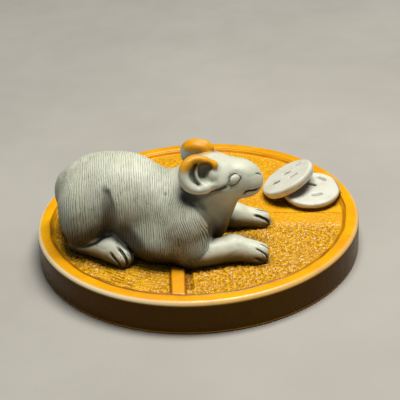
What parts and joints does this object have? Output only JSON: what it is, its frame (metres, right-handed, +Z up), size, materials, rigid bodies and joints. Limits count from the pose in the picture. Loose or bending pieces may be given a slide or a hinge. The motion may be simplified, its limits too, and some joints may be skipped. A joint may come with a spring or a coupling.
{
  "type": "carved stone rat figurine",
  "caption": "Crouching rat and two leaning coins carved with their thick round coin-shaped disc from one block of layered ochre and grey-green stone; stands on its flat underside.",
  "frame": {"origin": "centre of the flat underside of the disc", "axes": "+Z up, square to the disc; +X the way the animal looks; +Y to the side away from the picture's camera"},
  "size_m": [0.14, 0.14, 0.0598],
  "materials": {
    "layered_stone": "one block of naturally layered stone: ochre yellow below and in the ear tips, pale grey-green between; satin on the animal and the coins, polished on the rim, tooled on the field"
  },
  "bodies": {
    "root": {"carved_rat_with_coins": "layered_stone"}
  },
  "joints": []
}
